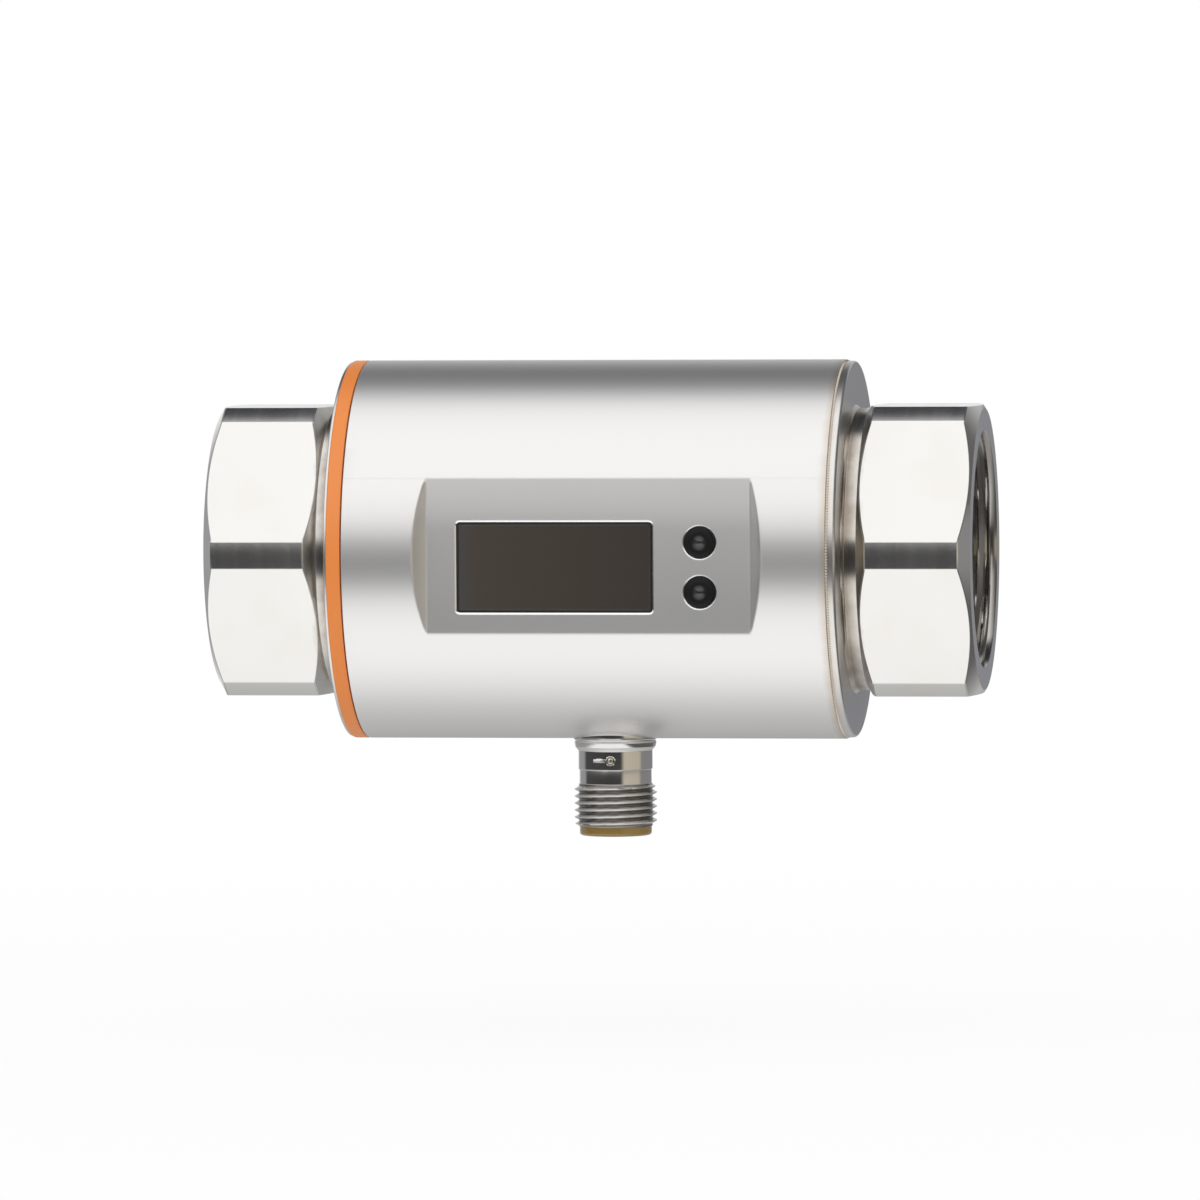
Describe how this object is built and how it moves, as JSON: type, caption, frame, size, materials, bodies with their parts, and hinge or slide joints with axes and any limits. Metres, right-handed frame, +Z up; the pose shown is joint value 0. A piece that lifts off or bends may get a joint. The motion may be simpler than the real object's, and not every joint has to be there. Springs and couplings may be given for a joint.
{
  "type": "in-line electromagnetic flow meter",
  "caption": "Stainless steel in-line flow meter: tube housing, female threaded hexagon pipe fittings, orange ring, display window, push buttons and round plug.",
  "frame": {"origin": "middle of the flow axis, inside the measuring tube", "axes": "+X along the flow axis from inlet to outlet, -Y out of the display, +Z up, with the plug pointing along -Z"},
  "size_m": [0.109, 0.054, 0.0678],
  "materials": {
    "turned_steel": "bright turned and milled stainless steel",
    "housing_steel": "fine satin stainless steel with tinted welds",
    "cover_steel": "turned stainless steel",
    "plug_steel": "bright turned stainless steel",
    "electrode_steel": "polished stainless steel",
    "screw_steel": "zinc plated",
    "soft_iron": "zinc plated soft iron",
    "copper_wire": "enamelled copper wire",
    "gland_brass": "turned brass",
    "gold_contact": "gold plated brass",
    "orange_plastic": "matte orange plastic",
    "smoked_pane": "smoked clear plastic",
    "display_black": "black display face",
    "black_rubber": "black rubber",
    "button_rubber": "glossy black elastomer",
    "black_plastic": "black moulded plastic",
    "natural_plastic": "natural moulded plastic",
    "liner_plastic": "beige engineering plastic",
    "amber_plastic": "amber moulded plastic",
    "board_laminate": "green solder mask",
    "flex_film": "amber polyimide film"
  },
  "bodies": {
    "meter": {"inlet_fitting": "turned_steel", "outlet_fitting": "turned_steel", "housing_tube": "housing_steel", "inlet_end_cover": "cover_steel", "outlet_end_cover": "cover_steel", "accent_ring": "orange_plastic", "display_window": "smoked_pane", "window_gasket": "black_rubber", "display_module": "display_black", "display_board": "board_laminate", "board_header": "black_plastic", "main_board": "board_laminate", "board_screws": "screw_steel", "upper_switch": "black_plastic", "lower_switch": "black_plastic", "inlet_support_ring": "natural_plastic", "outlet_support_ring": "natural_plastic", "measuring_tube": "liner_plastic", "inlet_tube_seal": "black_rubber", "outlet_tube_seal": "black_rubber", "front_electrode": "electrode_steel", "rear_electrode": "electrode_steel", "electrode_glands": "gland_brass", "upper_pole_piece": "soft_iron", "lower_pole_piece": "soft_iron", "upper_bobbin": "natural_plastic", "lower_bobbin": "natural_plastic", "upper_winding": "copper_wire", "lower_winding": "copper_wire", "magnet_yoke": "soft_iron", "temperature_probe": "electrode_steel", "connector_shell": "plug_steel", "contact_carrier": "amber_plastic", "contact_pins": "gold_contact", "connector_saddle": "plug_steel", "connector_nut": "plug_steel", "connector_seal": "black_rubber", "plug_board": "board_laminate", "plug_flex": "flex_film"},
    "upper_key": {"button_upper": "button_rubber", "upper_plunger": "black_plastic"},
    "lower_key": {"button_lower": "button_rubber", "lower_plunger": "black_plastic"}
  },
  "joints": [
    {"name": "button_upper_press", "type": "slide", "parent": "meter", "child": "upper_key", "axis": [0, 1, 0], "range_m": [0, 0.0006], "stiffness_N_per_m": 800, "springref_m": -0.0005},
    {"name": "button_lower_press", "type": "slide", "parent": "meter", "child": "lower_key", "axis": [0, 1, 0], "range_m": [0, 0.0006], "stiffness_N_per_m": 800, "springref_m": -0.0005}
  ]
}
